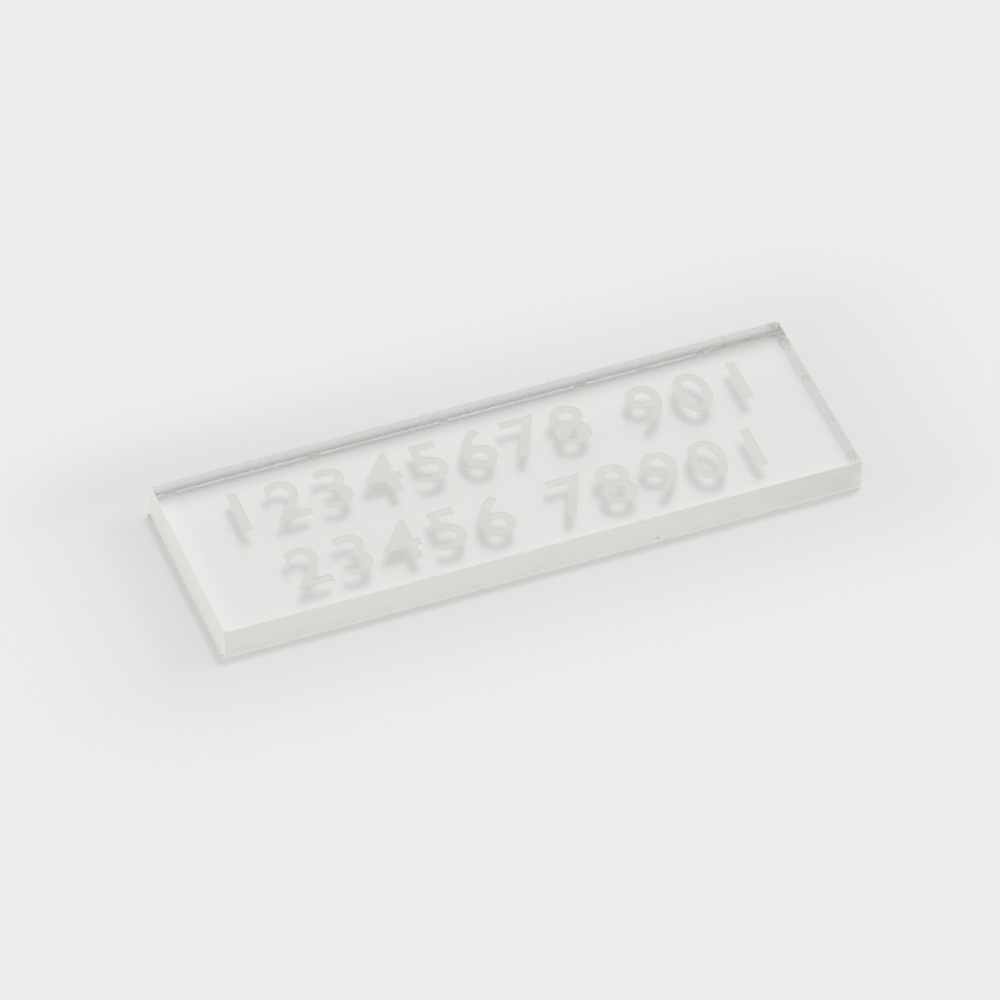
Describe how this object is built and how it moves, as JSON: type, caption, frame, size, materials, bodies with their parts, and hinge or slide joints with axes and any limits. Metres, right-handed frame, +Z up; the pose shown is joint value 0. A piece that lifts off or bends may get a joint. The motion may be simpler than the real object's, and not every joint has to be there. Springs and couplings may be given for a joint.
{
  "type": "acrylic plaque",
  "caption": "Small flat rectangular plaque sawn from clear acrylic sheet, with matte sawn edges and shallow frosted figures in its top face.",
  "frame": {"origin": "on the underside, below the middle of the top face", "axes": "+X along the plaque towards its right-hand end as its rows are read, +Y across it towards its upper edge, +Z up out of the engraved face"},
  "size_m": [0.0604, 0.0202, 0.0032],
  "materials": {
    "clear_acrylic": "gloss"
  },
  "bodies": {
    "root": {"acrylic_slab": "clear_acrylic"}
  },
  "joints": []
}
